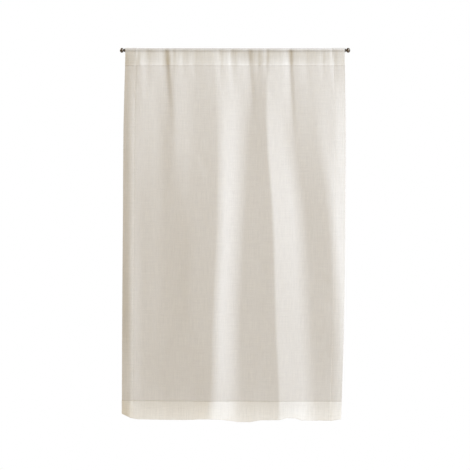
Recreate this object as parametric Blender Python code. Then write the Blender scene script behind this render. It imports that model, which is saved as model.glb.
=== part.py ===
"""Cafe curtain on its rod.

One linen-look panel hangs from a pocket sewn at its head, gathered a little on a slim metal rod that ends
in two small turned balls.

Frame: metres, +X to the viewer's right, the front of the cloth faces -Y, +Z up. The origin is the middle
of the rod's axis.
"""

import math
from functools import lru_cache
from typing import NamedTuple

import bmesh
import bpy
import numpy as np

# Rod and finials
ROD_RADIUS = 0.00555
ROD_HALF_LENGTH = 0.3385
ROD_SIDES = 32
PIECE_GAP = 0.0003
SEAT_LENGTH = 0.0010
NECK_RADIUS = 0.0039
NECK_LENGTH = 0.0024
BALL_RADIUS = 0.0075
BALL_HALF_LENGTH = 0.0062
BALL_STEPS = 10
FINIAL_SIDES = 28

# Cloth
DROP = 1.143
SINGLE_LAYER = 0.0012
TURNED_LAYER = 0.0008
POCKET_RADIUS = 0.0061
POCKET_DEPTH = 0.052
BOTTOM_HEM = 0.057
STITCH_STEP = 0.0014
FRONT_PUFF = 0.0036
BACK_PUFF = 0.0030

# Heights that follow from them
TOP = POCKET_RADIUS + SINGLE_LAYER
SEAM = TOP - POCKET_DEPTH
BOTTOM = TOP - DROP
HEM_SEAM = BOTTOM + BOTTOM_HEM
UPPER = -0.200
MIDDLE = -0.522
LOW = -0.850
HEM = -1.060
ACROSS_DROPS = (0.0, -UPPER, -MIDDLE, -LOW, -HEM, -BOTTOM)
BEHIND_DROPS = (-SEAM, -UPPER, -MIDDLE, -LOW, -HEM, -BOTTOM)

# Rows of the mesh
POCKET_SIDE_HEIGHTS = (-0.030, -0.016, -0.007)
POCKET_CORNER = 0.0025
ARC_STEPS = 6
DROP_HEIGHTS = (-0.085, -0.135, UPPER, -0.290, -0.400, MIDDLE, -0.640, -0.750, LOW, -0.960, HEM)
HEM_COLUMN_GAP = 0.02
SLOPE_REACH = 0.02
MOST_SLOPE_STRETCH = 1.6
WELD = 1e-6
SMOOTH_ANGLE = math.radians(40)


class FoldLine(NamedTuple):
    """A ridge, valley or edge that runs the whole drop, left to right in the order of the table."""

    name: str
    across: tuple  # X at the rod, UPPER, MIDDLE, LOW, HEM and BOTTOM
    behind: tuple  # Y at SEAM, UPPER, MIDDLE, LOW, HEM and BOTTOM: minus stands out into the room
    bend: float  # half the width over which the cloth turns there
    steps: int  # mesh columns from here to the next line
    hemmed: bool  # whether the cloth from here to the next line is a side hem


FOLD_LINES = (
    FoldLine(
        "left edge",
        (-0.3365, -0.342, -0.3455, -0.348, -0.349, -0.349),
        (0.005, 0.0083, 0.0265, 0.035, 0.038, 0.040),
        0.000,
        3,
        True,
    ),
    FoldLine(
        "left roll",
        (-0.321, -0.322, -0.323, -0.323, -0.322, -0.322),
        (0.001, 0.003, 0.0195, 0.0255, 0.0305, 0.029),
        0.008,
        3,
        True,
    ),
    FoldLine(
        "left hem",
        (-0.293, -0.293, -0.293, -0.293, -0.293, -0.293),
        (-0.0025, 0.003, 0.020, 0.026, 0.0305, 0.0265),
        0.012,
        7,
        False,
    ),
    FoldLine(
        "left slack",
        (-0.230, -0.229, -0.229, -0.229, -0.229, -0.229),
        (0.003, 0.008, 0.015, 0.018, 0.0215, 0.0195),
        0.018,
        6,
        False,
    ),
    FoldLine(
        "pinch lip",
        (-0.195, -0.189, -0.183, -0.183, -0.183, -0.183),
        (-0.002, 0.0015, 0.0075, 0.009, 0.012, 0.0125),
        0.012,
        6,
        False,
    ),
    FoldLine(
        "shallow valley",
        (-0.134, -0.134, -0.134, -0.134, -0.134, -0.134),
        (0.0015, 0.004, -0.0015, -0.002, 0.003, 0.0055),
        0.015,
        9,
        False,
    ),
    FoldLine(
        "first ridge",
        (-0.057, -0.046, -0.046, -0.059, -0.066, -0.078),
        (-0.001, -0.003, -0.0155, -0.0155, -0.010, -0.003),
        0.022,
        12,
        False,
    ),
    FoldLine(
        "second pinch",
        (0.041, 0.026, 0.006, -0.007, -0.004, -0.003),
        (0.009, 0.015, 0.009, 0.010, 0.0105, 0.008),
        0.026,
        12,
        False,
    ),
    FoldLine(
        "second ridge",
        (0.101, 0.097, 0.117, 0.126, 0.135, 0.136),
        (0.004, 0.001, -0.012, -0.0155, -0.0125, -0.009),
        0.010,
        10,
        False,
    ),
    FoldLine(
        "third pinch",
        (0.169, 0.161, 0.201, 0.218, 0.230, 0.233),
        (0.007, 0.010, 0.0095, 0.001, 0.004, 0.002),
        0.022,
        10,
        False,
    ),
    FoldLine(
        "third ridge",
        (0.244, 0.256, 0.2985, 0.312, 0.312, 0.311),
        (0.003, -0.001, -0.0125, -0.0165, -0.0075, -0.0085),
        0.016,
        5,
        False,
    ),
    FoldLine(
        "right hem",
        (0.313, 0.312, 0.324, 0.325, 0.320, 0.319),
        (0.001, 0.000, -0.005, -0.015, -0.0065, -0.0085),
        0.006,
        3,
        True,
    ),
    FoldLine(
        "right edge",
        (0.3365, 0.340, 0.3385, 0.334, 0.328, 0.3255),
        (-0.001, 0.0035, -0.001, -0.0122, -0.006, -0.009),
        0.000,
        0,
        True,
    ),
)


class Gather(NamedTuple):
    """A short valley that starts at the rod and fades out below it."""

    across: float  # X at the rod
    drift: float  # X it moves to the right for each metre of drop
    left_side: float  # width of its left side
    right_side: float  # and of its right side
    depth: float
    reach: float  # height of drop over which it fades


GATHERS = (
    Gather(-0.273, 0.02, 0.010, 0.012, 0.0012, 0.14),
    Gather(-0.216, 0.08, 0.018, 0.0095, 0.0031, 0.26),
    Gather(-0.191, 0.00, 0.006, 0.006, 0.0009, 0.06),
    Gather(-0.160, 0.00, 0.010, 0.010, 0.0008, 0.07),
    Gather(-0.123, 0.00, 0.010, 0.010, 0.0008, 0.07),
    Gather(-0.048, 0.04, 0.010, 0.008, 0.0013, 0.10),
    Gather(-0.013, 0.06, 0.0085, 0.012, 0.0016, 0.12),
    Gather(0.040, 0.08, 0.016, 0.009, 0.0017, 0.22),
    Gather(0.0705, 0.00, 0.006, 0.006, 0.0006, 0.05),
    Gather(0.0965, 0.00, 0.007, 0.007, 0.0014, 0.05),
    Gather(0.1655, 0.05, 0.015, 0.0075, 0.0029, 0.26),
    Gather(0.215, 0.08, 0.013, 0.013, 0.0009, 0.12),
    Gather(0.2685, 0.04, 0.010, 0.006, 0.0006, 0.07),
    Gather(0.301, 0.04, 0.0075, 0.010, 0.0013, 0.10),
)


class HemPoint(NamedTuple):
    """How far the lower edge of the bottom hem lies above a level line."""

    across: float
    rise: float


LOWER_EDGE = (
    HemPoint(-0.349, 0.017),
    HemPoint(-0.322, 0.005),
    HemPoint(-0.300, 0.001),
    HemPoint(-0.160, 0.000),
    HemPoint(-0.090, 0.003),
    HemPoint(-0.040, 0.001),
    HemPoint(0.010, -0.006),
    HemPoint(0.045, -0.006),
    HemPoint(0.080, 0.000),
    HemPoint(0.135, 0.001),
    HemPoint(0.160, 0.007),
    HemPoint(0.185, 0.006),
    HemPoint(0.205, -0.001),
    HemPoint(0.300, -0.001),
    HemPoint(0.321, 0.003),
)


def smooth_track(places, values, at):
    """The value at one place on a smooth curve through a few, straight on past its ends."""
    places = np.asarray(places, float)
    values = np.asarray(values, float)
    slopes = np.gradient(values, places)
    left = int(np.clip(np.searchsorted(places, at) - 1, 0, len(places) - 2))
    width = places[left + 1] - places[left]
    return values[left] + hermite(
        (at - places[left]) / width,
        values[left + 1] - values[left],
        slopes[left] * width,
        slopes[left + 1] * width,
    )


def hermite(t, rise, start_slope, end_slope):
    """A cubic from 0 to rise as t goes from 0 to 1, with the slope at each end."""
    return rise * t * t * (3 - 2 * t) + start_slope * t * (1 - t) ** 2 - end_slope * t * t * (1 - t)


def fade(t):
    """1 at t = 0, falling smoothly to 0 at t = 1 and beyond."""
    t = min(max(t, 0.0), 1.0)
    return 1 - t * t * (3 - 2 * t)


@lru_cache(maxsize=None)
def lines_at(z):
    """X and Y of every fold line at a height."""
    across = [smooth_track(ACROSS_DROPS, line.across, -z) for line in FOLD_LINES]
    behind = [smooth_track(BEHIND_DROPS, line.behind, -min(z, SEAM)) for line in FOLD_LINES]
    return np.array(across), np.array(behind)


def fold_depth(x, z):
    """Y of the long folds: straight from line to line, and rounded where the cloth turns."""
    line_x, line_y = lines_at(z)
    depth = np.interp(x, line_x, line_y)
    slopes = np.diff(line_y) / np.diff(line_x)
    for line, centre, turn in zip(FOLD_LINES[1:-1], line_x[1:-1], np.diff(slopes)):
        within = max(0.0, line.bend - abs(x - centre))
        depth += turn * within**2 / (4 * line.bend)
    return depth


def gathered(x, z):
    """How far the gathers at the rod push the cloth back at a point."""
    drop = max(0.0, SEAM - z)
    total = 0.0
    for gather in GATHERS:
        away = x - gather.across - gather.drift * max(0.0, -z)
        side = gather.left_side if away < 0 else gather.right_side
        total += gather.depth * math.exp(-((away / side) ** 2)) * fade(drop / gather.reach)
    return total


def column_plan():
    """(stretch, fraction, hemmed) of each column, with two close columns where a side hem begins or ends."""
    plan = []
    for stretch, line in enumerate(FOLD_LINES[:-1]):
        after_hem = stretch > 0 and FOLD_LINES[stretch - 1].hemmed and not line.hemmed
        before_hem = not line.hemmed and FOLD_LINES[stretch + 1].hemmed
        plan.append((stretch, 0.0, line.hemmed or after_hem))
        if after_hem:
            plan.append((stretch, HEM_COLUMN_GAP, False))
        for step in range(1, line.steps):
            plan.append((stretch, step / line.steps, line.hemmed))
        if before_hem:
            plan.append((stretch, 1 - HEM_COLUMN_GAP, False))
    plan.append((len(FOLD_LINES) - 2, 1.0, True))
    return plan


def front_point(stretch, fraction, z):
    """(x, y) of the cloth's front on one column at a height, seam or below."""
    line_x, _ = lines_at(z)
    x = line_x[stretch] + (line_x[stretch + 1] - line_x[stretch]) * fraction
    return x, fold_depth(x, z) + gathered(x, z)


def lower_edge(x):
    """Height of the bottom hem's lower edge."""
    return BOTTOM + np.interp(x, [p.across for p in LOWER_EDGE], [p.rise for p in LOWER_EDGE])


def drop_rows(stretch, fraction, hemmed):
    """(front, back) points of one column from the lower edge up to the pocket's seam."""
    side = TURNED_LAYER if hemmed else 0.0
    rows = [
        (None, TURNED_LAYER),
        (HEM_SEAM, TURNED_LAYER),
        (HEM_SEAM + STITCH_STEP, 0.0),
        *((z, 0.0) for z in reversed(DROP_HEIGHTS)),
        (SEAM - STITCH_STEP, 0.0),
        (SEAM, SINGLE_LAYER),
    ]
    points = []
    for z, turned in rows:
        at = BOTTOM if z is None else z
        x, y = front_point(stretch, fraction, at)
        if z is None:
            at = lower_edge(x)
        thickness = SINGLE_LAYER + turned + side
        points.append(((x, y, at), (x, y + thickness * slope_stretch(stretch, fraction, at), at)))
    return points


def slope_stretch(stretch, fraction, z):
    """What a thickness gains when it is measured straight back through sloping cloth."""
    x0, y0 = front_point(stretch, max(0.0, fraction - SLOPE_REACH), z)
    x1, y1 = front_point(stretch, min(1.0, fraction + SLOPE_REACH), z)
    return min(MOST_SLOPE_STRETCH, math.hypot(1.0, (y1 - y0) / (x1 - x0)))


def puff(x, most):
    """How far the pocket stands off the rod between its gathers."""
    return max(0.0, most - gathered(x, 0.0))


def pocket_rows(stretch, fraction):
    """(outside, inside) points of one column, from above the front seam over the rod to the back seam."""
    x, _ = front_point(stretch, fraction, 0.0)
    seam_front = front_point(stretch, fraction, SEAM)[1]
    seam_back = seam_front + 2 * SINGLE_LAYER * slope_stretch(stretch, fraction, SEAM)
    front, back = puff(x, FRONT_PUFF), puff(x, BACK_PUFF)
    outer_radius = POCKET_RADIUS + SINGLE_LAYER

    def side_row(z, sign, stand_off, seam_y):
        """A row on the pocket's front (sign -1) or back (sign 1), between the seam and the rod's axis."""
        share = 1 - z / SEAM
        outside = share * sign * (outer_radius + stand_off) + (1 - share) * seam_y
        here, _ = front_point(stretch, fraction, z)
        return (here, outside, z), (here, outside - sign * SINGLE_LAYER, z)

    def arc_row(angle):
        """A row over the rod, from the front at angle 0 to the back at half a turn."""
        forward, up = math.cos(angle), math.sin(angle)
        stand_off = (front if forward > 0 else back) * abs(forward)
        outside = (x, -(outer_radius + stand_off) * forward, outer_radius * up)
        inside = (x, -(POCKET_RADIUS + stand_off) * forward, POCKET_RADIUS * up)
        return outside, inside

    return [
        *(side_row(z, -1, front, seam_front) for z in POCKET_SIDE_HEIGHTS),
        *(arc_row(math.pi * step / ARC_STEPS) for step in range(ARC_STEPS + 1)),
        *(side_row(z, 1, back, seam_back) for z in reversed(POCKET_SIDE_HEIGHTS)),
    ]


def pocket_corner(stretch, fraction):
    """The lowest point inside the pocket, where its two layers meet above the seam."""
    x, y = front_point(stretch, fraction, SEAM)
    return x, y + SINGLE_LAYER * slope_stretch(stretch, fraction, SEAM), SEAM + POCKET_CORNER


def add_panel(material):
    """The hemmed cloth with its pocket, as one closed solid."""
    mesh = bmesh.new()
    outlines, insides, strips = [], [], []
    for stretch, fraction, hemmed in column_plan():
        drop = drop_rows(stretch, fraction, hemmed)
        pocket = pocket_rows(stretch, fraction)
        fronts = [mesh.verts.new(front) for front, _ in drop]
        backs = [mesh.verts.new(back) for _, back in drop]
        outer = [mesh.verts.new(outside) for outside, _ in pocket]
        inner = [mesh.verts.new(inside) for _, inside in pocket]
        corner = mesh.verts.new(pocket_corner(stretch, fraction))
        outlines.append(fronts + outer + backs[::-1])
        insides.append([corner] + inner[::-1])
        strips.append((fronts, backs, outer, inner, corner))
    for loops in (outlines, insides):
        for left, right in zip(loops, loops[1:]):
            for row, here in enumerate(left):
                after = (row + 1) % len(left)
                mesh.faces.new((here, right[row], right[after], left[after]))
    for fronts, backs, outer, inner, corner in (strips[0], strips[-1]):
        for row in range(len(fronts) - 1):
            mesh.faces.new((fronts[row], fronts[row + 1], backs[row + 1], backs[row]))
        around = [fronts[-1], *outer, backs[-1]]
        within = [corner, *inner, corner]
        for row in range(len(around) - 1):
            quad = (around[row], around[row + 1], within[row + 1], within[row])
            mesh.faces.new(tuple(dict.fromkeys(quad)))
        mesh.faces.new((fronts[-1], corner, backs[-1]))
    bmesh.ops.recalc_face_normals(mesh, faces=mesh.faces)
    return finish_mesh("panel", mesh, material)


def add_rod(material):
    """A plain round bar along X."""
    mesh = bmesh.new()
    bmesh.ops.create_cone(
        mesh,
        cap_ends=True,
        segments=ROD_SIDES,
        radius1=ROD_RADIUS,
        radius2=ROD_RADIUS,
        depth=2 * ROD_HALF_LENGTH,
    )
    rod = finish_mesh("rod", mesh, material)
    rod.rotation_euler = (0, math.pi / 2, 0)
    return rod


def finial_profile():
    """(radius, distance from the rod's end) along a finial: its seat, its neck and its flattened ball."""
    neck_start = PIECE_GAP + SEAT_LENGTH
    neck_end = neck_start + NECK_LENGTH
    neck_angle = math.asin(NECK_RADIUS / BALL_RADIUS)
    ball_centre = neck_end + BALL_HALF_LENGTH * math.cos(neck_angle)
    points = [(0.0, PIECE_GAP), (ROD_RADIUS, PIECE_GAP), (ROD_RADIUS, neck_start), (NECK_RADIUS, neck_start)]
    for step in range(BALL_STEPS + 1):
        angle = neck_angle + (math.pi - neck_angle) * step / BALL_STEPS
        radius = 0.0 if step == BALL_STEPS else BALL_RADIUS * math.sin(angle)
        points.append((radius, ball_centre - BALL_HALF_LENGTH * math.cos(angle)))
    return points


def add_finial(name, side, material):
    """A turned end on the rod's left (side -1) or right (side 1) end."""
    mesh = bmesh.new()
    verts = [mesh.verts.new((radius, 0, along)) for radius, along in finial_profile()]
    edges = [mesh.edges.new(pair) for pair in zip(verts, verts[1:])]
    bmesh.ops.spin(
        mesh,
        geom=verts + edges,
        axis=(0, 0, 1),
        cent=(0, 0, 0),
        steps=FINIAL_SIDES,
        angle=2 * math.pi,
    )
    bmesh.ops.remove_doubles(mesh, verts=mesh.verts, dist=WELD)
    bmesh.ops.recalc_face_normals(mesh, faces=mesh.faces)
    finial = finish_mesh(name, mesh, material)
    finial.location = (side * ROD_HALF_LENGTH, 0, 0)
    finial.rotation_euler = (0, side * math.pi / 2, 0)
    return finial


def finish_mesh(name, mesh, material):
    """The object made from a bmesh, shaded smooth across its rounded faces."""
    data = bpy.data.meshes.new(name)
    mesh.to_mesh(data)
    mesh.free()
    data.materials.append(material)
    data.shade_smooth()
    data.set_sharp_from_angle(angle=SMOOTH_ANGLE)
    obj = bpy.data.objects.new(name, data)
    bpy.context.scene.collection.objects.link(obj)
    return obj


def add_material(name, color, roughness, metallic):
    """A plain Principled finish."""
    material = bpy.data.materials.new(name)
    material.use_nodes = True
    shader = material.node_tree.nodes["Principled BSDF"]
    shader.inputs["Base Color"].default_value = (*color, 1)
    shader.inputs["Roughness"].default_value = roughness
    shader.inputs["Metallic"].default_value = metallic
    return material


def main():
    for obj in list(bpy.data.objects):
        bpy.data.objects.remove(obj, do_unlink=True)
    linen = add_material("off-white linen", (0.72, 0.68, 0.60), 0.85, 0.0)
    bronze = add_material("dark bronze paint", (0.055, 0.045, 0.038), 0.38, 0.7)
    hanger = bpy.data.objects.new("hanger", None)
    bpy.context.scene.collection.objects.link(hanger)
    pieces = [
        add_panel(linen),
        add_rod(bronze),
        add_finial("finial_left", -1, bronze),
        add_finial("finial_right", 1, bronze),
    ]
    for piece in pieces:
        piece.parent = hanger


main()
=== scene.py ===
"""Cafe curtain on its rod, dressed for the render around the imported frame.

One panel of slubby, semi-sheer linen-look cloth hangs from a pocket sewn at its head. The sheet is one
piece: it starts behind the bottom hem, turns up over its fold, hangs down the front in uneven folds, goes
over the rod and ends behind the pocket's seam. Metres, +X to the viewer's right, the front faces -Y.
"""

import logging
import math
from dataclasses import dataclass
from enum import Enum
from functools import lru_cache
from typing import Callable, Iterator, Sequence, Union

import bpy
import numpy as np
from bpy.types import Material, Mesh, NodeSocket, Object
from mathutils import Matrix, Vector, noise


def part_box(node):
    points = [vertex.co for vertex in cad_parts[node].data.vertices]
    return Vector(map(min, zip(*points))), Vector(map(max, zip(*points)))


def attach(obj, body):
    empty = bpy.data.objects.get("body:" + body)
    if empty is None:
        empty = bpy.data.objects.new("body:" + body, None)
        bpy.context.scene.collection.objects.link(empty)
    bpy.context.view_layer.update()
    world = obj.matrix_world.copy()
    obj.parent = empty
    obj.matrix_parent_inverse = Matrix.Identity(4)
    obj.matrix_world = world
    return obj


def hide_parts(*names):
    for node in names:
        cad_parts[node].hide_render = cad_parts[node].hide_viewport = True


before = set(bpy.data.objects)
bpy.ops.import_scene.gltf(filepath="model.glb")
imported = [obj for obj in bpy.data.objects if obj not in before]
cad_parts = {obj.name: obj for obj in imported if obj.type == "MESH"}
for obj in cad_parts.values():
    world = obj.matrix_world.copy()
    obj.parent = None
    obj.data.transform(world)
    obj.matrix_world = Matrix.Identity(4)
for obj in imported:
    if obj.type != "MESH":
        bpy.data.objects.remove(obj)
log = logging.getLogger("cafe curtain")

BODY = "root"
UV_NAME = "flat"
# Point attribute: the second layer's tone, with painted light and shade on the bottom hem.
LAYERS_AND_PAINTED_SHADE = "layers_and_painted_shade"
WALL_GROUP = "wall"
SMOOTH_ANGLE = math.radians(50)
QUARTER_TURN = math.pi / 2
TOUCHING = 1e-6

Array = np.ndarray
Number = Union[float, Array]
Triple = tuple[float, float, float]
Pair = tuple[float, float]


def hermite(t: Number, rise: Number, start_slope: Number, end_slope: Number) -> Number:
    """A cubic from 0 to rise as t goes from 0 to 1, with its slope given at both ends."""
    return rise * t * t * (3 - 2 * t) + start_slope * t * (1 - t) ** 2 - end_slope * t * t * (1 - t)


def fade(t: Number) -> Number:
    """1 at t = 0, falling smoothly to 0 at t = 1 and beyond."""
    t = np.clip(t, 0.0, 1.0)
    return 1 - t * t * (3 - 2 * t)


def bell(distance: Number, half_width: Number) -> Number:
    """A smooth bump of height 1 that dies away past its half width."""
    return np.exp(-((distance / half_width) ** 2))


def smooth_track(places: Sequence[float], values: Sequence[float], at: Number) -> Number:
    """A smooth curve through a few values.

    Args:
        places: where the values are, rising.
        values: one value for each place.
        at: where the curve is read.

    Returns:
        The curve's value at each place asked for.
    """
    places, values = np.asarray(places, float), np.asarray(values, float)
    slopes = np.gradient(values, places)
    left = np.clip(np.searchsorted(places, at) - 1, 0, len(places) - 2)
    width = places[left + 1] - places[left]
    t = (at - places[left]) / width
    rise = values[left + 1] - values[left]
    return values[left] + hermite(t, rise, slopes[left] * width, slopes[left + 1] * width)


@dataclass(frozen=True)
class FoldLine:
    """A ridge, valley or edge that runs the whole drop."""

    name: str
    bend: float  # half the width over which the cloth turns there
    across: tuple[float, ...]  # X at the rod, UPPER, MIDDLE, LOW, HEM and the lower edge
    behind: tuple[float, ...]  # Y at the pocket's seam and at the same heights, minus is nearer the room


@dataclass(frozen=True)
class Gather:
    """A short valley that starts at the rod and fades out below it."""

    across: float  # X at the rod
    drift: float  # X it moves to the right for each metre of drop
    left_side: float  # width of its lit side
    right_side: float  # and of its shaded side
    depth: float
    reach: float  # height of drop over which it fades


@dataclass(frozen=True)
class Crease:
    """A soft trough (depth above 0) or ridge (below 0) between two points of the front."""

    start: Pair  # X and Z
    end: Pair
    half_width: float
    depth: float


@dataclass(frozen=True)
class Ripple:
    """Unevenness all over the cloth."""

    across: float  # length of a swell across the cloth
    down: float  # and down it
    height: float
    seed: float


@dataclass(frozen=True)
class PaintedHemShade:
    """A stretch of the bottom hem painted lighter or darker: painted light on a fold in shade and painted
    shade on a lit one, evening out the shading of the hem's folds.
    """

    across: float  # from the flat panel's left edge
    half_width: float
    lighter: float


UPPER, MIDDLE, LOW, HEM = -0.200, -0.522, -0.850, -1.060

FOLD_LINES = (
    FoldLine("left edge", 0.000, (-0.3365, -0.342, -0.3455, -0.348, -0.349, -0.349),
             (0.005, 0.0083, 0.0265, 0.035, 0.038, 0.040)),
    FoldLine("left roll", 0.008, (-0.321, -0.322, -0.323, -0.323, -0.322, -0.322),
             (0.001, 0.003, 0.0195, 0.0255, 0.0305, 0.029)),
    FoldLine("left hem", 0.012, (-0.293,) * 6,
             (-0.0025, 0.003, 0.020, 0.026, 0.0305, 0.0265)),
    FoldLine("left slack", 0.018, (-0.230, -0.229, -0.229, -0.229, -0.229, -0.229),
             (0.003, 0.008, 0.015, 0.018, 0.0215, 0.0195)),
    FoldLine("pinch lip", 0.012, (-0.195, -0.189, -0.183, -0.183, -0.183, -0.183),
             (-0.002, 0.0015, 0.0075, 0.009, 0.012, 0.0125)),
    FoldLine("shallow valley", 0.015, (-0.134,) * 6,
             (0.0015, 0.004, -0.0015, -0.002, 0.003, 0.0055)),
    FoldLine("first ridge", 0.014, (-0.057, -0.046, -0.046, -0.059, -0.066, -0.078),
             (-0.001, -0.003, -0.0155, -0.0155, -0.010, -0.003)),
    FoldLine("second pinch", 0.026, (0.041, 0.026, 0.006, -0.007, -0.004, -0.003),
             (0.009, 0.015, 0.009, 0.010, 0.0105, 0.008)),
    FoldLine("second ridge", 0.005, (0.101, 0.097, 0.117, 0.126, 0.135, 0.136),
             (0.004, 0.001, -0.012, -0.0155, -0.0125, -0.009)),
    FoldLine("third pinch", 0.022, (0.169, 0.161, 0.201, 0.218, 0.230, 0.233),
             (0.007, 0.010, 0.0095, 0.001, 0.004, 0.002)),
    FoldLine("third ridge", 0.016, (0.244, 0.256, 0.2985, 0.312, 0.312, 0.311),
             (0.003, -0.001, -0.0125, -0.0165, -0.0075, -0.0085)),
    FoldLine("right hem", 0.006, (0.313, 0.312, 0.324, 0.325, 0.320, 0.319),
             (0.001, 0.000, -0.005, -0.015, -0.0065, -0.0085)),
    FoldLine("right edge", 0.000, (0.3365, 0.340, 0.3385, 0.334, 0.328, 0.3255),
             (-0.001, 0.0035, -0.001, -0.0122, -0.006, -0.009)),
)

GATHERS = (
    Gather(-0.273, 0.02, 0.010, 0.012, 0.0012, 0.14),
    Gather(-0.216, 0.08, 0.018, 0.0095, 0.0031, 0.26),
    Gather(-0.191, 0.00, 0.006, 0.006, 0.0009, 0.06),
    Gather(-0.160, 0.00, 0.010, 0.010, 0.0008, 0.07),
    Gather(-0.123, 0.00, 0.010, 0.010, 0.0008, 0.07),
    Gather(-0.048, 0.04, 0.010, 0.008, 0.0013, 0.10),
    Gather(-0.013, 0.06, 0.0085, 0.012, 0.0016, 0.12),
    Gather(0.040, 0.08, 0.016, 0.009, 0.0017, 0.22),
    Gather(0.0705, 0.00, 0.006, 0.006, 0.0006, 0.05),
    Gather(0.0965, 0.00, 0.007, 0.007, 0.0014, 0.05),
    Gather(0.1655, 0.05, 0.015, 0.0075, 0.0029, 0.26),
    Gather(0.215, 0.08, 0.013, 0.013, 0.0009, 0.12),
    Gather(0.2685, 0.04, 0.010, 0.006, 0.0006, 0.07),
    Gather(0.301, 0.04, 0.0075, 0.010, 0.0013, 0.10),
)

CREASES = (
    Crease((0.244, -0.697), (0.321, -0.736), 0.006, 0.0014),
    Crease((0.262, -0.760), (0.318, -0.797), 0.006, 0.0010),
    Crease((0.290, -0.797), (0.326, -0.812), 0.005, 0.0010),
    Crease((0.284, -0.940), (0.322, -0.966), 0.007, 0.0012),
    Crease((-0.341, -0.560), (-0.306, -0.590), 0.008, 0.0006),
    Crease((-0.300, -1.020), (-0.190, -1.050), 0.012, 0.0006),
    Crease((-0.120, -0.300), (-0.080, -0.380), 0.012, 0.0006),
    Crease((0.060, -0.640), (0.110, -0.700), 0.010, 0.0007),
)

RIPPLES = (
    Ripple(0.110, 0.420, 0.0011, 3.1),
    Ripple(0.036, 0.120, 0.00028, 11.7),
    Ripple(0.012, 0.026, 0.00005, 23.9),
)

LOWER_EDGE = (  # X, and how far the lower edge of the bottom hem lies there above a level line
    (-0.349, 0.017), (-0.322, 0.005), (-0.300, 0.001), (-0.160, 0.000), (-0.090, 0.003),
    (-0.040, 0.001), (0.010, -0.006), (0.045, -0.006), (0.080, 0.000), (0.135, 0.001),
    (0.160, 0.007), (0.185, 0.006), (0.205, -0.001), (0.300, -0.001), (0.321, 0.003),
)

# Painted light and shade on the bottom hem: lighter over a fold in shade, darker over a lit fold and over the
# lit right side hem.
PAINTED_HEM_SHADES = (
    PaintedHemShade(0.262, 0.045, 0.10),
    PaintedHemShade(0.540, 0.035, -0.09),
    PaintedHemShade(0.698, 0.020, -0.11),
)


@dataclass(frozen=True)
class ClothSizes:
    """What the panel was sewn to, and how thick it is."""

    drop: float = 1.143
    flat_width: float = 0.711
    side_hem: float = 0.038
    bottom_hem: float = 0.057
    pocket_depth: float = 0.052
    turn_in: float = 0.010
    edge_past_stitch: float = 0.002
    wall: float = 0.0006
    layer_gap: float = 0.0003
    top: float = 0.0073

    @property
    def seam(self) -> float:
        """Height of the pocket's stitch line."""
        return self.top - self.pocket_depth

    @property
    def bottom(self) -> float:
        """Height of the hem's lower edge, where it is level."""
        return self.top - self.drop

    @property
    def hem_seam(self) -> float:
        """Height of the bottom hem's stitch line."""
        return self.bottom + self.bottom_hem

    @property
    def cut(self) -> Pair:
        """Width and length of the cloth as it was cut, with its hems unfolded."""
        width = self.flat_width + 2 * (self.side_hem + self.turn_in)
        length = self.drop + self.pocket_depth + self.bottom_hem + 2 * self.turn_in
        return width, length


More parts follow.
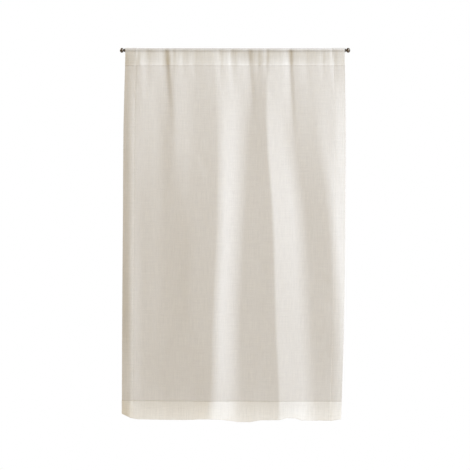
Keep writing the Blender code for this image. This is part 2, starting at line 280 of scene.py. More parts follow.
class Drape:
    """The shape in which the cloth hangs: where a point of the flat panel lies in the room."""

    steps_across: int = 700
    crease_ends: Pair = (0.15, 0.85)  # shares of a crease's run past which it stops fading
    lift_power: float = 1.6
    seam_seed: float = 5.5
    side_seed: float = 8.5

    def __init__(self, sizes: ClothSizes) -> None:
        """Notes the heights at which the fold lines are given."""
        self.sizes = sizes
        heights = (0.0, UPPER, MIDDLE, LOW, HEM, sizes.bottom)
        self.across_drops = [-z for z in heights]
        self.behind_drops = [-sizes.seam] + self.across_drops[1:]

    def depth(self, x: Array, z: float) -> Array:
        """Y of the long folds: straight from line to line, and rounded where the cloth turns."""
        line_x, line_y = self.lines_at(z)
        y = np.interp(x, line_x, line_y)
        slopes = np.diff(line_y) / np.diff(line_x)
        for line, centre, turn in zip(FOLD_LINES[1:-1], line_x[1:-1], np.diff(slopes)):
            within = np.maximum(0.0, line.bend - np.abs(x - centre))
            y += turn * within ** 2 / (4 * line.bend)
        return y

    @lru_cache(maxsize=None)
    def layout(self, z: float) -> tuple[Array, Array]:
        """X of many points of the cloth at a height, and how far along the flat panel each lies."""
        line_x, _ = self.lines_at(z)
        x = np.linspace(line_x[0], line_x[-1], self.steps_across)
        y = self.depth(x, z)
        lengths = np.concatenate([[0.0], np.cumsum(np.hypot(np.diff(x), np.diff(y)))])
        return x, lengths * self.sizes.flat_width / lengths[-1]

    @lru_cache(maxsize=None)
    def lines_at(self, z: float) -> tuple[Array, Array]:
        """X and Y of the fold lines at one height."""
        below = -min(z, self.sizes.seam)
        across = [smooth_track(self.across_drops, line.across, -z) for line in FOLD_LINES]
        behind = [smooth_track(self.behind_drops, line.behind, below) for line in FOLD_LINES]
        return np.array(across), np.array(behind)

    def folds(self, u: Array, z: float) -> tuple[Array, Array]:
        """X and Y of the front at a height, with the long folds alone."""
        hung, flat = self.layout(z)
        x = np.interp(u, flat, hung)
        return x, self.depth(x, z)

    def gathered(self, x: Array, z: float) -> Array:
        """How far the gathers at the rod push the cloth back."""
        drop = max(0.0, self.sizes.seam - z)
        total = np.zeros_like(x)
        for gather in GATHERS:
            away = x - gather.across - gather.drift * max(0.0, -z)
            side = np.where(away < 0, gather.left_side, gather.right_side)
            total += gather.depth * bell(away, side) * fade(drop / gather.reach)
        return total

    def creased(self, x: Array, z: float) -> Array:
        """How far the short creases push the cloth back."""
        total = np.zeros_like(x)
        for crease in CREASES:
            start, end = np.array(crease.start), np.array(crease.end)
            run = end - start
            along = ((x - start[0]) * run[0] + (z - start[1]) * run[1]) / (run @ run)
            held = np.clip(along, 0.0, 1.0)
            away = np.hypot(x - start[0] - held * run[0], z - start[1] - held * run[1])
            swell = np.sin(np.pi * np.clip(held, *self.crease_ends))
            total += crease.depth * bell(away, crease.half_width) * swell
        return total

    def rippled(self, u: Array, z: float) -> Array:
        """The cloth's small unevenness."""
        total = np.zeros_like(u)
        for ripple in RIPPLES:
            total += ripple.height * noise_row(u / ripple.across, z / ripple.down, ripple.seed)
        return total

    def puckered(self, u: Array, z: float) -> Array:
        """The dents and puckers along the stitch lines."""
        sizes = self.sizes
        total = np.zeros_like(u)
        for height in (sizes.seam, sizes.hem_seam):
            near = bell(z - height, Stitching.pucker_reach)
            total += Stitching.pucker * near * noise_row(u / Stitching.pucker_length, height, self.seam_seed)
            total += Stitching.dent * bell(z - height, Stitching.dent_reach)
        for line in side_stitch_lines(sizes):
            away = u - line
            pucker = noise_row(np.full_like(u, line), z / Stitching.pucker_length, self.side_seed)
            total += Stitching.pucker * bell(away, Stitching.pucker_reach) * pucker
            total += Stitching.dent * bell(away, Stitching.dent_reach)
        return total

    def front(self, u: Array, z: float) -> tuple[Array, Array]:
        """X and Y of the front of the cloth, at or below the pocket's seam."""
        x, y = self.folds(u, z)
        y = y + self.gathered(x, z) + self.creased(x, z) + self.rippled(u, z) + self.puckered(u, z)
        return x, y

    def lift(self, x: Array, z: float) -> Array:
        """How far the hem is raised where its lower edge isn't level."""
        rise = np.interp(x, *zip(*LOWER_EDGE))
        share = min(max((self.sizes.hem_seam - z) / self.sizes.bottom_hem, 0.0), 1.0)
        return rise * share ** self.lift_power


def noise_row(across: Array, down: float, seed: float) -> Array:
    """Smooth noise from about -1 to 1 along one row."""
    return np.array([noise.noise(Vector((float(a), float(down), seed))) for a in across])


@dataclass(frozen=True)
class Stitching:
    """The thread, and what it does to the cloth round it."""

    pitch: float = 0.0030
    length: float = 0.0025
    half_width: float = 0.00024
    height: float = 0.00022
    in_from_edge: float = 0.0025
    pucker: float = 0.00035
    pucker_length: float = 0.009
    pucker_reach: float = 0.007
    dent: float = 0.00022
    dent_reach: float = 0.0013


def side_stitch_lines(sizes: ClothSizes) -> Pair:
    """Where the two side hems are stitched, from the flat panel's left edge."""
    inset = sizes.side_hem - Stitching.in_from_edge
    return inset, sizes.flat_width - inset


class Run(Enum):
    """The runs of the sheet, from the hem's edge behind to the pocket's edge behind."""

    HEM_BACK = "behind the bottom hem"
    HEM_FOLD = "round the hem's fold"
    FRONT = "down the front"
    POCKET_FRONT = "in front of the rod"
    POCKET_TOP = "over the rod"
    POCKET_BACK = "behind the rod"


@dataclass(frozen=True)
class Row:
    """One row of the sheet's mesh."""

    run: Run
    height: float  # Z, where the row isn't on a fold
    angle: float = 0.0  # how far round its fold


@dataclass(frozen=True)
class RowPlan:
    """How many rows each run of the sheet has, and how close its rows come to a fold or a seam."""

    beside_edge: float = 0.0004
    beside_stitch: float = 0.0013
    below_turned_edge: float = 0.008
    above_fold_behind: float = 0.004
    above_fold: float = 0.003
    below_hem_seam: float = 0.005
    above_hem_seam: Pair = (0.005, 0.013)
    body_top: float = -0.260
    gathers_foot: float = -0.250
    below_pocket_seam: float = 0.006
    below_rod: float = -0.003
    behind_rod: tuple[float, ...] = (-0.005, -0.012, -0.020, -0.028)
    above_pocket_edge: Pair = (0.0085, 0.003)
    hem_back: int = 5
    hem_fold: int = 6
    hem_front: int = 9
    body: int = 58
    gathers: int = 24
    pocket_front: int = 13
    pocket_top: int = 11


@dataclass(frozen=True)
class LayerAndPaintedTones:
    """How light the places with a second layer show, with painted light towards the bottom hem's fold: 0 is
    the single cloth, 1 the lightest.
    """

    side_hem: float = 0.13
    hem_seam: float = 0.665
    hem_painted_light: float = 0.245  # painted light: lighter from the hem's seam down to its fold, where the folded edge catches the light
    over_rod: float = 0.16
    below_rod_gain: float = 0.41


def even_rows(run: Run, first: float, last: float, count: int) -> Iterator[Row]:
    """Evenly spaced rows of one run, from one height to another."""
    for z in np.linspace(first, last, count):
        yield Row(run, float(z))


def turning_rows(run: Run, height: float, count: int) -> Iterator[Row]:
    """The rows of one run that go half a turn round a fold."""
    for angle in np.linspace(0.0, math.pi, count):
        yield Row(run, height, float(angle))


@dataclass
class ClothPanel:
    """The hemmed cloth, as one sheet."""

    sizes: ClothSizes = ClothSizes()
    plan: RowPlan = RowPlan()
    tones: LayerAndPaintedTones = LayerAndPaintedTones()
    columns: int = 262
    beside_stitch: float = 0.0011
    least_spacing: float = 0.0009
    rod_radius: float = 0.00555
    rod_clearance: float = 0.0002
    front_puff: float = 0.0036
    back_puff: float = 0.0030
    top_puff: float = 0.0003
    front_hang: float = 1.5
    slope_reach: float = 0.0015
    most_slope_stretch: float = 1.8
    turned_in_share: float = 0.7
    pocket_edge_slack: float = 0.001

    def __post_init__(self) -> None:
        """Works out the drape."""
        self.drape = Drape(self.sizes)

    def column_places(self) -> Array:
        """Distances of the mesh's columns from the flat panel's left edge, close at the side hems."""
        sizes, beside, edge = self.sizes, self.beside_stitch, self.plan.beside_edge
        even = list(np.linspace(0.0, sizes.flat_width, self.columns))
        lines = side_stitch_lines(sizes)
        hems = (sizes.side_hem, sizes.flat_width - sizes.side_hem)
        extra = [line + off for line in lines for off in (-beside, 0.0, beside)]
        extra += [hem + off for hem in hems for off in (-edge, edge)]
        kept = [u for u in even if min(abs(u - e) for e in extra) > self.least_spacing]
        return np.array(sorted(kept + extra))

    def rows(self) -> Iterator[Row]:
        """The rows of the mesh, in the sheet's own order.

        Returns:
            Each row in turn.
        """
        sizes, plan, beside = self.sizes, self.plan, self.plan.beside_stitch
        past = sizes.hem_seam + sizes.edge_past_stitch
        turned = past - sizes.turn_in
        near, far = plan.above_hem_seam
        for z in (past, sizes.hem_seam, turned + plan.beside_edge, turned - plan.beside_edge):
            yield Row(Run.HEM_BACK, z)
        lowest = sizes.bottom + plan.above_fold_behind
        yield from even_rows(Run.HEM_BACK, turned - plan.below_turned_edge, lowest, plan.hem_back)
        yield from turning_rows(Run.HEM_FOLD, sizes.bottom, plan.hem_fold)
        highest = sizes.hem_seam - plan.below_hem_seam
        yield from even_rows(Run.FRONT, sizes.bottom + plan.above_fold, highest, plan.hem_front)
        for off in (-beside, 0.0, beside, near):
            yield Row(Run.FRONT, sizes.hem_seam + off)
        yield from even_rows(Run.FRONT, sizes.hem_seam + far, plan.body_top, plan.body)
        highest = sizes.seam - plan.below_pocket_seam
        yield from even_rows(Run.FRONT, plan.gathers_foot, highest, plan.gathers)
        for off in (-2 * beside, -beside):
            yield Row(Run.FRONT, sizes.seam + off)
        yield from even_rows(Run.POCKET_FRONT, sizes.seam, plan.below_rod, plan.pocket_front)
        yield from turning_rows(Run.POCKET_TOP, 0.0, plan.pocket_top)
        far, near = plan.above_pocket_edge
        for z in (*plan.behind_rod, sizes.seam + sizes.turn_in, sizes.seam + far, sizes.seam + near):
            yield Row(Run.POCKET_BACK, z)
        for z in (sizes.seam, sizes.seam - sizes.edge_past_stitch):
            yield Row(Run.POCKET_BACK, z)

    def side_hemmed(self, u: Array) -> Array:
        """1 on the side hems, 0 between them."""
        return ((u < self.sizes.side_hem) | (u > self.sizes.flat_width - self.sizes.side_hem)).astype(float)

    def wall(self, row: Row, u: Array) -> Array:
        """Thickness of the sheet along a row: more at a side hem and where an edge is turned in."""
        sizes = self.sizes
        hem_edge = sizes.hem_seam + sizes.edge_past_stitch - sizes.turn_in
        pocket_edge = sizes.seam + sizes.turn_in - self.pocket_edge_slack
        in_hem = row.run is Run.HEM_BACK and row.height > hem_edge
        in_pocket = row.run is Run.POCKET_BACK and row.height < pocket_edge
        turned_in = self.turned_in_share if in_hem or in_pocket else 0.0
        return sizes.wall * (1.0 + self.side_hemmed(u) + turned_in)

    def slope_stretch(self, u: Array, z: float) -> Array:
        """What a thickness gains when it is measured straight back through sloping cloth."""
        x0, y0 = self.drape.folds(np.maximum(u - self.slope_reach, 0.0), z)
        x1, y1 = self.drape.folds(np.minimum(u + self.slope_reach, self.sizes.flat_width), z)
        return np.minimum(self.most_slope_stretch, np.hypot(1.0, (y1 - y0) / (x1 - x0)))

    def puff(self, x: Array, most: float) -> Array:
        """How far the pocket stands off the rod between its gathers."""
        sag = np.maximum(0.0, self.front_puff - self.drape.gathered(x, 0.0)) / self.front_puff
        return most * sag

    def points(self, row: Row, u: Array) -> Array:
        """Places of one row's points.

        Args:
            row: the row.
            u: distances of its points from the flat panel's left edge.

        Returns:
            An array of points.
        """
        if row.run in (Run.POCKET_FRONT, Run.POCKET_TOP, Run.POCKET_BACK):
            return self.pocket_points(row, u)
        sizes = self.sizes
        x, y = self.drape.front(u, row.height)
        z = row.height + self.drape.lift(x, row.height)
        if row.run is Run.FRONT:
            return np.stack([x, y, z], 1)
        stretch = self.slope_stretch(u, row.height)
        behind = (self.wall(row, u) + self.wall(Row(Run.FRONT, row.height), u) + sizes.layer_gap) * stretch
        if row.run is Run.HEM_BACK:
            return np.stack([x, y + behind, z], 1)
        radius = behind / 2
        offset = radius * (1 + math.cos(row.angle))
        return np.stack([x, y + offset, z + radius * (1 - math.sin(row.angle))], 1)

    def pocket_points(self, row: Row, u: Array) -> Array:
        """Places of the points of one row of the pocket.

        Args:
            row: the row.
            u: distances of its points from the flat panel's left edge.

        Returns:
            An array of points.
        """
        sizes = self.sizes
        _, seam_front = self.drape.front(u, sizes.seam)
        front_wall = self.wall(Row(Run.FRONT, sizes.seam), u)
        back_wall = self.wall(Row(Run.POCKET_BACK, sizes.seam), u)
        stretch = self.slope_stretch(u, sizes.seam)
        seam_back = seam_front + (front_wall + back_wall + sizes.layer_gap) * stretch
        x, _ = self.drape.folds(u, 0.0)
        radius = self.rod_radius + self.rod_clearance + front_wall
        front, back = self.puff(x, self.front_puff), self.puff(x, self.back_puff)
        if row.run is Run.POCKET_TOP:
            forward, up = math.cos(row.angle), math.sin(row.angle)
            stand_off = (front if forward > 0 else back) * abs(forward)
            z = (radius + self.puff(x, self.top_puff)) * up
            return np.stack([x, -(radius + stand_off) * forward, z], 1)
        x, _ = self.drape.folds(u, row.height)
        share = max(0.0, 1 - row.height / sizes.seam)
        if row.run is Run.POCKET_FRONT:
            share = share ** self.front_hang
            y = -share * (radius + front) + (1 - share) * seam_front
        else:
            y = share * (radius + back) + (1 - share) * seam_back
        return np.stack([x, y, np.full_like(x, row.height)], 1)

    def layers_and_painted_shade(self, row: Row, u: Array) -> Array:
        """How much lighter the cloth shows for its second layer, with painted light and shade on the bottom
        hem.

        Args:
            row: the row.
            u: distances of its points from the flat panel's left edge.

        Returns:
            The share at each point, from 0 for single cloth.
        """
        sizes, tones = self.sizes, self.tones
        side = tones.side_hem * self.side_hemmed(u)
        in_hem = row.run in (Run.HEM_BACK, Run.HEM_FOLD)
        if in_hem or row.height < sizes.hem_seam + self.plan.beside_edge:
            # Painted light and shade on the bottom hem's folds.
            painted_patches = sum(patch.lighter * bell(u - patch.across, patch.half_width) for patch in PAINTED_HEM_SHADES)
            # Painted light: the hem grows lighter down to its fold, where the folded edge catches the light.
            gain = tones.hem_painted_light * (sizes.hem_seam - row.height) / sizes.bottom_hem
            return tones.hem_seam + gain + side + painted_patches
        if row.run is Run.FRONT:
            return side
        below_rod = 1 - float(fade((-row.height - self.rod_radius / 2) / self.rod_radius))
        return np.full_like(u, tones.over_rod + tones.below_rod_gain * below_rod)

    def build(self) -> Object:
        """The sheet as a closed mesh with its thickness, hung from the rod.

        Returns:
            The finished piece.
        """
        u = self.column_places()
        rows = list(self.rows())
        bpy.ops.mesh.primitive_grid_add(x_subdivisions=len(u) - 1, y_subdivisions=len(rows) - 1, size=1)
        sheet = bpy.context.object
        sheet.name = sheet.data.name = "cloth_panel"
        mesh = sheet.data
        flat = np.zeros(len(mesh.vertices) * 3)
        mesh.vertices.foreach_get("co", flat)
        flat = flat.reshape(-1, 3) + 0.5
        column = np.rint(flat[:, 0] * (len(u) - 1)).astype(int)
        line = np.rint(flat[:, 1] * (len(rows) - 1)).astype(int)
        hung = np.stack([self.points(row, u) for row in rows])
        walls = np.stack([self.wall(row, u) for row in rows])
        shades = np.stack([np.broadcast_to(self.layers_and_painted_shade(row, u), u.shape) for row in rows])
        steps = np.linalg.norm(np.diff(hung, axis=0), axis=2).mean(1)
        lengths = np.concatenate([[0.0], np.cumsum(steps)])
        mesh.vertices.foreach_set("co", hung[line, column].ravel())
        self.add_uv(mesh, u[column], lengths[line])
        attribute = mesh.attributes.new(LAYERS_AND_PAINTED_SHADE, "FLOAT", "POINT")
        attribute.data.foreach_set("value", shades[line, column].astype(np.float32))
        self.add_wall(sheet, walls[line, column])
        bpy.ops.object.shade_smooth_by_angle(angle=SMOOTH_ANGLE)
        return sheet

    def add_uv(self, mesh: Mesh, u: Array, v: Array) -> None:
        """Lays the sheet's map out in flat metres, so that the weave follows the cloth."""
        for old in list(mesh.uv_layers):
            mesh.uv_layers.remove(old)
        layer = mesh.uv_layers.new(name=UV_NAME)
        points = np.zeros(len(mesh.loops), int)
        mesh.loops.foreach_get("vertex_index", points)
        layer.data.foreach_set("uv", np.stack([u[points], v[points]], 1).astype(np.float32).ravel())

    def add_wall(self, sheet: Object, walls: Array) -> None:
        """Gives the sheet the thickness that each point has, behind its outer face."""
        thickest = float(walls.max())
        group = sheet.vertex_groups.new(name=WALL_GROUP)
        for thickness in np.unique(walls):
            chosen = np.nonzero(walls == thickness)[0].tolist()
            group.add(chosen, float(thickness) / thickest, "REPLACE")
        solid = sheet.modifiers.new(WALL_GROUP, "SOLIDIFY")
        solid.thickness = thickest
        solid.offset = -1.0
        solid.vertex_group = group.name
        solid.use_rim = True
        bpy.ops.object.modifier_apply(modifier=solid.name)
        sheet.vertex_groups.clear()


def operation(name: str, swapped: bool = False) -> Callable[..., "Signal"]:
    """Makes the method behind one arithmetic operator.

    Args:
        name: the operation of the Math node that it adds.
        swapped: whether the signal comes after the other value.

    Returns:
        The method.
    """

    def apply(self: "Signal", *others: "Operand") -> "Signal":
        inputs = (*others, self) if swapped else (self, *others)
        return self.graph.node("ShaderNodeMath", {"operation": name}, dict(enumerate(inputs)))

    return apply


class Signal:
    """A shader value that Python arithmetic works on: each operation adds a Math node."""

    def __init__(self, graph: "Graph", socket: NodeSocket) -> None:
        """Wraps one output socket."""
        self.graph = graph
        self.socket = socket

    __add__ = __radd__ = operation("ADD")
    __sub__ = operation("SUBTRACT")
    __rsub__ = operation("SUBTRACT", swapped=True)
    __mul__ = __rmul__ = operation("MULTIPLY")
    __truediv__ = operation("DIVIDE")
    __pow__ = operation("POWER")
    __abs__ = operation("ABSOLUTE")
    sine = operation("SINE")

    def clamped(self) -> "Signal":
        """The value held between 0 and 1."""
        return self.graph.node("ShaderNodeClamp", {}, {"Value": self})


Operand = Union[Signal, float, tuple]


class Graph:
    """A material's node tree with one Principled shader."""

    def __init__(self, name: str) -> None:
        """Starts an empty material with this name."""
        self.material = bpy.data.materials.new(name)
        self.material.use_nodes = True
        self.tree = self.material.node_tree
        self.shader = self.tree.nodes["Principled BSDF"]

    def node(self, kind: str, settings: dict, sockets: dict, output: Union[int, str] = 0) -> Signal:
        """Adds one node.

        Args:
            kind: the node's type.
            settings: its properties, set before its sockets.
            sockets: values or links, by the socket's name or number.
            output: the output to return.

        Returns:
            That output.
        """
        made = self.tree.nodes.new(kind)
        for name, value in settings.items():
            setattr(made, name, value)
        for name, value in sockets.items():
            self.feed(made.inputs[name], value)
        return Signal(self, made.outputs[output])

    def feed(self, socket: NodeSocket, value: Operand) -> None:
        """Links or sets one input socket."""
        if isinstance(value, Signal):
            self.tree.links.new(value.socket, socket)
        else:
            socket.default_value = value

    def place(self) -> Signal:
        """The piece's own Object coordinates."""
        return self.node("ShaderNodeTexCoord", {}, {}, output="Object")

    def bump(self, height: Signal, strength: float, distance: float) -> Signal:
        """A normal that follows a height."""
        sockets = {"Strength": strength, "Distance": distance, "Height": height}
        return self.node("ShaderNodeBump", {}, sockets, output="Normal")

    def stretched(self, place: Signal, scale: Triple) -> Signal:
        """A place with its own scale along each axis."""
        return self.node("ShaderNodeVectorMath", {"operation": "MULTIPLY"}, {0: place, 1: scale})

    def noise(self, place: Signal, scale: Triple, detail: float = 2.0) -> Signal:
        """Noise from 0 to 1 at a stretched place."""
        sockets = {"Vector": self.stretched(place, scale), "Scale": 1.0, "Detail": detail}
        return self.node("ShaderNodeTexNoise", {}, sockets)

    def mix(self, share: Operand, first: Operand, second: Operand) -> Signal:
        """A colour between two others."""
        settings = {"data_type": "RGBA", "clamp_factor": True}
        return self.node("ShaderNodeMix", settings, {0: share, 6: first, 7: second}, output=2)

    def finish(self, **sockets: Operand) -> Material:
        """The material, with the shader's sockets fed; a _ stands for a space in their names."""
        for name, value in sockets.items():
            self.feed(self.shader.inputs[name.replace("_", " ")], value)
        return self.material


@dataclass(frozen=True)
class LinenFinish:
    """Off-white slubby plain weave, a little sheer."""

    single: Triple = (0.654, 0.604, 0.543)
    double: Triple = (0.915, 0.875, 0.815)
    yarn_pitch: float = 0.0009
    yarn_length: float = 0.012
    slub_width: float = 0.0022
    slub_length: float = 0.055
    slub_tone: float = 0.075
    warp_slubs: float = 1.2
    weft_slubs: float = 0.9
    uneven_yarns: float = 0.5
    yarn_detail: float = 1.0
    slub_contrast: float = 1.6
    cloud_scale: Triple = (9.0, 6.0, 0.0)
    cloud_contrast: float = 0.3
    single_alpha: float = 0.62
    double_alpha: float = 0.95
    slub_alpha: float = 0.07
    gap_alpha: float = 0.05
    gap_sharpness: float = 3.0
    even_alpha: float = 0.02
    weave_relief: float = 0.4
    slub_relief: float = 0.6
    bump: float = 0.35
    bump_height: float = 0.00025
    roughness: float = 0.86
    specular: float = 0.2
    sheen: float = 0.10
    sheen_roughness: float = 0.5

    def material(self) -> Material:
        """Builds the weave on the sheet's flat map.

        Returns:
            The cloth's material.
        """
        graph = Graph("off-white linen")
        place = graph.node("ShaderNodeUVMap", {"uv_map": UV_NAME}, {})
        u = graph.node("ShaderNodeSeparateXYZ", {}, {"Vector": place}, output="X")
        v = Signal(graph, u.socket.node.outputs["Y"])
        layers_and_painted_shade = graph.node(
            "ShaderNodeAttribute", {"attribute_type": "GEOMETRY", "attribute_name": LAYERS_AND_PAINTED_SHADE}, {}, output="Fac"
        )
        long, fine = 1 / self.slub_length, 1 / self.slub_width
        warp_slub = graph.noise(place, (fine, long, 0.0))
        weft_slub = graph.noise(place, (long, fine, 0.0))
        long, fine = 1 / self.yarn_length, 1 / self.yarn_pitch
        warp_yarn = graph.noise(place, (fine, long, 0.0), self.yarn_detail)
        weft_yarn = graph.noise(place, (long, fine, 0.0), self.yarn_detail)
        cloud = graph.noise(place, self.cloud_scale)
        slub = (warp_slub - 0.5) * self.warp_slubs + (weft_slub - 0.5) * self.weft_slubs
        slub = slub + (warp_yarn + weft_yarn - 1.0) * self.uneven_yarns
        tone = (0.5 + slub * self.slub_contrast + (cloud - 0.5) * self.cloud_contrast).clamped()
        turn = math.pi / self.yarn_pitch
        across = (u * turn).sine()
        down = (v * turn).sine()
        weave = 0.5 + across * down * 0.5
        gaps = (1.0 - abs(across)) ** self.gap_sharpness + (1.0 - abs(down)) ** self.gap_sharpness
        single, double = (
            graph.mix(tone, (*(c * (1 - self.slub_tone) for c in cloth), 1.0), (*cloth, 1.0))
            for cloth in (self.single, self.double)
        )
        # The attribute holds the second layer's tone and, on the bottom hem, painted light and shade.
        colour = graph.mix(layers_and_painted_shade, single, double)
        layers_and_painted_share = layers_and_painted_shade.clamped()
        alpha = self.single_alpha + layers_and_painted_share * (self.double_alpha - self.single_alpha)
        alpha = (alpha + slub * self.slub_alpha - gaps * self.gap_alpha + self.even_alpha).clamped()
        relief = weave * self.weave_relief + slub * self.slub_relief
        return graph.finish(
            Base_Color=colour,
            Roughness=self.roughness,
            Specular_IOR_Level=self.specular,
            Sheen_Weight=self.sheen,
            Sheen_Roughness=self.sheen_roughness,
            Alpha=alpha,
            Normal=graph.bump(relief, self.bump, self.bump_height),
        )


@dataclass(frozen=True)
class ThreadFinish:
    """Spun sewing thread, a shade lighter than the cloth."""

    colour: Triple = (0.80, 0.76, 0.68)
    fuzz_scale: float = 2500.0
    darkest: float = 0.86
    roughness: float = 0.7
    specular: float = 0.3

    def material(self) -> Material:
        """The thread's material."""
        graph = Graph("sewing thread")
        fuzz = graph.noise(graph.place(), (self.fuzz_scale,) * 3)
        darker = tuple(c * self.darkest for c in self.colour)
        colour = graph.mix(fuzz, (*darker, 1.0), (*self.colour, 1.0))
        return graph.finish(Base_Color=colour, Roughness=self.roughness, Specular_IOR_Level=self.specular)


@dataclass(frozen=True)
class BronzeFinish:
    """Dark bronze paint on metal, satin, thinner where hands rub it."""

    paint: Triple = (0.080, 0.066, 0.054)
    rubbed: Triple = (0.240, 0.190, 0.140)
    mottle_scale: Triple = (160.0, 420.0, 420.0)
    mottle_detail: float = 4.0
    grain_scale: float = 2200.0
    wear_contrast: float = 2.4
    wear: float = 0.35
    metallic: float = 0.75
    roughness: float = 0.30
    more_roughness: float = 0.22
    bump: float = 0.3
    bump_height: float = 0.0001

    def material(self) -> Material:
        """The rod's and finials' material."""
        graph = Graph("dark bronze paint")
        place = graph.place()
        mottle = graph.noise(place, self.mottle_scale, self.mottle_detail)
        grain = graph.noise(place, (self.grain_scale,) * 3)
        rub = ((mottle - 0.5) * self.wear_contrast + self.wear).clamped()
        return graph.finish(
            Base_Color=graph.mix(rub, (*self.paint, 1.0), (*self.rubbed, 1.0)),
            Metallic=self.metallic,
            Roughness=self.roughness + mottle * self.more_roughness,
            Normal=graph.bump(grain, self.bump, self.bump_height),
        )


@dataclass
class Stitches:
    """Every stitch of the panel as one joined mesh of small threads."""

    panel: ClothPanel
    sides: int = 6
    clear_of_ends: float = 1.5  # pitches from a seam or fold to the first stitch of a side hem
    sideways: float = 0.001  # how far off the cloth's slope is read
    level_slope: float = 0.5

    def template(self) -> tuple[Array, list[tuple[int, ...]]]:
        """One stitch, modelled along X with its belly on the cloth.

        Returns:
            Its points and its faces.
        """
        bpy.ops.mesh.primitive_uv_sphere_add(
            segments=self.sides, ring_count=self.sides, radius=1.0, rotation=(0, QUARTER_TURN, 0)
        )
        stitch = bpy.context.object
        stitch.scale = (Stitching.length / 2, Stitching.half_width, Stitching.height)
        bpy.ops.object.transform_apply(location=False, rotation=True, scale=False)
        bpy.ops.object.transform_apply(location=False, rotation=False, scale=True)
        points = np.array([v.co for v in stitch.data.vertices])
        faces = [tuple(face.vertices) for face in stitch.data.polygons]
        bpy.data.objects.remove(stitch, do_unlink=True)
        return points, faces

    def front_place(self, u: float, z: float) -> Vector:
        """One point of the cloth's front."""
        x, y = self.panel.drape.front(np.array([u]), z)
        return Vector((x[0], y[0], z + self.panel.drape.lift(x, z)[0]))

    def depth(self, u: float, z: float) -> float:
        """How thick all the layers of the cloth are together at a stitch."""
        panel, sizes = self.panel, self.panel.sizes

        def wall(run: Run) -> float:
            """The thickness of one run there."""
            return float(panel.wall(Row(run, z), np.array([u]))[0])

        if abs(z - sizes.seam) < TOUCHING:
            return wall(Run.FRONT) + sizes.layer_gap + wall(Run.POCKET_BACK)
        if z <= sizes.hem_seam + TOUCHING:
            return wall(Run.FRONT) + sizes.layer_gap + wall(Run.HEM_BACK)
        return wall(Run.FRONT)

    def rows(self) -> Iterator[list[Pair]]:
        """Flat places of the stitches, line by line.

        Returns:
            For each line, the distance from the left edge and the height of each stitch's start.
        """
        sizes, pitch = self.panel.sizes, Stitching.pitch
        across = np.arange(pitch, sizes.flat_width - pitch / 2, pitch)
        for height in (sizes.seam, sizes.hem_seam):
            yield [(float(u), height) for u in across]
        clear = self.clear_of_ends * pitch
        down = np.arange(sizes.seam - clear, sizes.bottom + clear, -pitch)
        for line in side_stitch_lines(sizes):
            yield [(line, float(z)) for z in down]

    def build(self) -> Object:
        """Lays a stitch on the front and one on the back at each place.

        Returns:
            All the stitches as one piece.
        """
        shape, faces = self.template()
        points, polygons = [], []
        for row in self.rows():
            ends = [self.front_place(u, z) for u, z in row]
            for (u, z), here, after in zip(row, ends, ends[1:]):
                along = (after - here).normalized()
                level = abs(along.z) < self.level_slope
                aside = (u, z + self.sideways) if level else (u + self.sideways, z)
                beside = self.front_place(*aside)
                out = along.cross(beside - here).normalized()
                out = -out if out.y > 0 else out
                middle = (here + after) / 2
                for centre, normal in ((middle, out), (middle - out * self.depth(u, z), -out)):
                    axes = np.array([along, normal.cross(along), normal])
                    polygons += [tuple(len(points) * len(shape) + i for i in face) for face in faces]
                    points.append(shape @ axes + np.array(centre))
        mesh = bpy.data.meshes.new("stitches")
        mesh.from_pydata(np.concatenate(points).tolist(), [], polygons)
        mesh.shade_smooth()
        stitches = bpy.data.objects.new("stitches", mesh)
        bpy.context.scene.collection.objects.link(stitches)
        return stitches


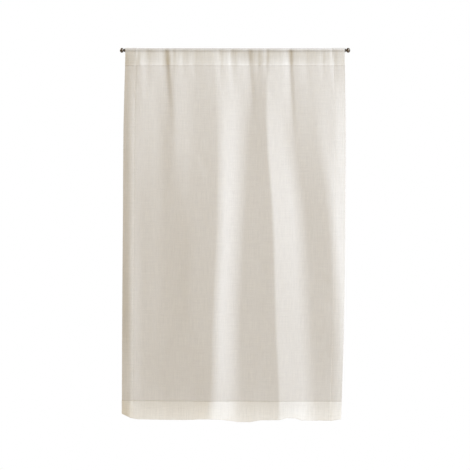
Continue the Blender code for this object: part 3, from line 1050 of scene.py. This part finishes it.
@dataclass
class Finial:
    """A small turned ball on a neck, plugged into one end of the rod."""

    node: str
    side: int
    sides: int = 40
    seat_radius: float = 0.00555
    neck_radius: float = 0.0036
    ball_radius: float = 0.0075
    ball_half_length: float = 0.0062
    ball_steps: int = 14
    seat_rings: tuple[Pair, ...] = ((0.93, 0.0), (1.0, 0.00025), (1.0, 0.0008), (0.90, 0.0011))
    neck_rings: tuple[Pair, ...] = ((1.0, 0.0014), (0.94, 0.0021), (1.02, 0.0029))
    ball_foot: float = 1.12  # of the neck's radius

    def profile(self, start: float, end: float) -> list[Pair]:
        """Radius and distance along the rod's axis of each turned ring.

        Args:
            start: where the seat meets the rod.
            end: the ball's tip.

        Returns:
            The rings from the seat to the tip.
        """
        rings = [(self.seat_radius * share, start + along) for share, along in self.seat_rings]
        rings += [(self.neck_radius * share, start + along) for share, along in self.neck_rings]
        centre = end - self.ball_half_length
        first = math.asin(self.neck_radius * self.ball_foot / self.ball_radius)
        for step in range(self.ball_steps):
            angle = first + (math.pi - first) * step / self.ball_steps
            along = centre - self.ball_half_length * math.cos(angle)
            rings.append((self.ball_radius * math.sin(angle), along))
        return rings

    def build(self) -> Object:
        """Turns the finial by extruding one ring along its profile.

        Returns:
            The finished piece.
        """
        low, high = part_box(self.node)
        start, end = (low.x, high.x) if self.side > 0 else (-high.x, -low.x)
        rings = self.profile(start, end)
        bpy.ops.mesh.primitive_circle_add(
            vertices=self.sides, radius=rings[0][0], fill_type="NGON", rotation=(0, QUARTER_TURN, 0)
        )
        turned = bpy.context.object
        turned.name = turned.data.name = f"{self.node}_ball"
        turned.location.x = rings[0][1]
        bpy.ops.object.transform_apply(location=True, rotation=True, scale=True)
        bpy.ops.object.mode_set(mode="EDIT")
        bpy.ops.mesh.select_all(action="SELECT")
        for (radius, along), (next_radius, next_along) in zip(rings, rings[1:]):
            bpy.ops.mesh.extrude_region_move(TRANSFORM_OT_translate={"value": (next_along - along, 0, 0)})
            grown = next_radius / radius
            bpy.ops.transform.resize(value=(grown, grown, grown))
        bpy.ops.mesh.extrude_region_move(TRANSFORM_OT_translate={"value": (end - rings[-1][1], 0, 0)})
        bpy.ops.mesh.merge(type="CENTER")
        bpy.ops.mesh.select_all(action="SELECT")
        bpy.ops.mesh.remove_doubles(threshold=TOUCHING)
        if self.side < 0:
            bpy.ops.transform.resize(value=(-1, 1, 1), center_override=(0, 0, 0))
        bpy.ops.mesh.normals_make_consistent(inside=False)
        bpy.ops.object.mode_set(mode="OBJECT")
        bpy.ops.object.shade_smooth_by_angle(angle=SMOOTH_ANGLE)
        return turned


@dataclass(frozen=True)
class SoftLight:
    """A square light aimed at the middle of the cloth."""

    place: Triple
    size: float
    power: float  # watts
    colour: Triple


@dataclass(frozen=True)
class Studio:
    """The camera square to the cloth, a soft daylight key from the right, and a pale floor."""

    metres_per_pixel: float = 0.00307
    image_pixels: float = 470.0
    eye_height: float = -0.567
    lens: float = 200.0
    sensor: float = 36.0
    key: SoftLight = SoftLight((3.41, -2.43, 2.0), 1.9, 455.0, (0.69, 0.81, 1.0))
    fill: SoftLight = SoftLight((-3.0, 3.2, 1.6), 2.2, 200.0, (1.0, 0.97, 0.92))
    room_colour: Triple = (1.0, 0.70, 0.17)
    room_strength: float = 0.422
    back_colour: Triple = (0.96, 0.97, 1.0)
    back_strength: float = 0.50
    floor_height: float = -2.0
    floor_radius: float = 6.0
    floor_fade: float = 4.5
    floor_sides: int = 96
    floor_cloud: float = 1.5
    floor_colours: tuple[Triple, Triple] = ((0.64, 0.63, 0.617), (0.68, 0.67, 0.66))
    floor_roughness: float = 0.8
    horizon: Pair = (-0.1, 0.3)  # between the room's light and the one behind the cloth

    def build(self) -> None:
        """Adds the camera, the light, the room and the floor."""
        self.add_camera()
        self.add_light(self.key)
        self.add_light(self.fill)
        self.add_room()
        self.add_floor()
        bpy.context.scene.view_settings.view_transform = "Standard"

    def add_camera(self) -> None:
        """The camera, level and square to the panel, from far enough to keep its edges parallel."""
        away = self.lens / self.sensor * self.metres_per_pixel * self.image_pixels
        bpy.ops.object.camera_add(location=(0.0, -away, self.eye_height), rotation=(QUARTER_TURN, 0, 0))
        camera = bpy.context.object
        camera.data.lens = self.lens
        camera.data.sensor_width = self.sensor
        bpy.context.scene.camera = camera

    def add_light(self, soft: SoftLight) -> None:
        """One of the soft lights."""
        aim = Vector((0.0, 0.0, self.eye_height)) - Vector(soft.place)
        turn = aim.to_track_quat("-Z", "Y").to_euler()
        bpy.ops.object.light_add(type="AREA", location=soft.place, rotation=turn)
        light = bpy.context.object.data
        light.shape = "SQUARE"
        light.size = soft.size
        light.energy = soft.power
        light.color = soft.colour

    def add_room(self) -> None:
        """A white backdrop, a dim warm room in front of the cloth and a bright pale one behind it."""
        world = bpy.data.worlds.new("white room")
        bpy.context.scene.world = world
        world.use_nodes = True
        nodes, link = world.node_tree.nodes, world.node_tree.links.new
        backdrop = nodes["Background"]
        in_front, at_back = nodes.new("ShaderNodeBackground"), nodes.new("ShaderNodeBackground")
        for light, colour, strength in (
            (backdrop, (1.0, 1.0, 1.0), 1.0),
            (in_front, self.room_colour, self.room_strength),
            (at_back, self.back_colour, self.back_strength),
        ):
            light.inputs["Color"].default_value = (*colour, 1.0)
            light.inputs["Strength"].default_value = strength
        direction = nodes.new("ShaderNodeTexCoord")
        parts = nodes.new("ShaderNodeSeparateXYZ")
        behind = nodes.new("ShaderNodeMapRange")
        behind.inputs["From Min"].default_value, behind.inputs["From Max"].default_value = self.horizon
        room = nodes.new("ShaderNodeMixShader")
        link(direction.outputs["Generated"], parts.inputs[0])
        link(parts.outputs["Y"], behind.inputs["Value"])
        link(behind.outputs[0], room.inputs[0])
        link(in_front.outputs[0], room.inputs[1])
        link(at_back.outputs[0], room.inputs[2])
        path = nodes.new("ShaderNodeLightPath")
        choose = nodes.new("ShaderNodeMixShader")
        link(path.outputs["Is Camera Ray"], choose.inputs[0])
        link(room.outputs[0], choose.inputs[1])
        link(backdrop.outputs[0], choose.inputs[2])
        link(choose.outputs[0], nodes["World Output"].inputs["Surface"])

    def add_floor(self) -> None:
        """A round pale floor below the curtain, out of the front view."""
        at = (0, 0, self.floor_height)
        bpy.ops.mesh.primitive_circle_add(
            vertices=self.floor_sides, radius=self.floor_radius, fill_type="NGON", location=at
        )
        floor = bpy.context.object
        floor.name = floor.data.name = "floor"
        bpy.ops.object.transform_apply(location=True, rotation=True, scale=True)
        graph = Graph("pale floor")
        place = graph.place()
        cloud = graph.noise(place, (self.floor_cloud,) * 3)
        colour = graph.mix(cloud, *((*colour, 1.0) for colour in self.floor_colours))
        flat = graph.stretched(place, (1.0, 1.0, 0.0))
        away = graph.node("ShaderNodeVectorMath", {"operation": "LENGTH"}, {0: flat}, output="Value")
        near = ((self.floor_radius - away) / self.floor_fade).clamped()
        finish = graph.finish(Base_Color=colour, Roughness=self.floor_roughness, Alpha=near * near)
        floor.data.materials.append(finish)


def dress(node: str, material: Material) -> None:
    """Gives a CAD node that stays its finish."""
    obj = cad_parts[node]
    for slot in obj.material_slots:
        slot.material = material


def main() -> None:
    """Builds each sub-assembly in order and reports it."""
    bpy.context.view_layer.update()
    Studio().build()
    linen = LinenFinish().material()
    bronze = BronzeFinish().material()
    panel = ClothPanel()
    cloth = panel.build()
    cloth.data.materials.append(linen)
    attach(cloth, BODY)
    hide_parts("panel")
    stitches = Stitches(panel).build()
    stitches.data.materials.append(ThreadFinish().material())
    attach(stitches, BODY)
    panel.sizes.cut
    for piece in (cloth, stitches):
        log.info("%s: %d faces", piece.name, len(piece.data.polygons))
    dress("rod", bronze)
    for node, side in (("finial_left", -1), ("finial_right", 1)):
        finial = Finial(node, side).build()
        finial.data.materials.append(bronze)
        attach(finial, BODY)
        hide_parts(node)
        log.info("%s: %d faces", finial.name, len(finial.data.polygons))


if __name__ == "__main__":
    logging.basicConfig(level=logging.INFO)
    main()
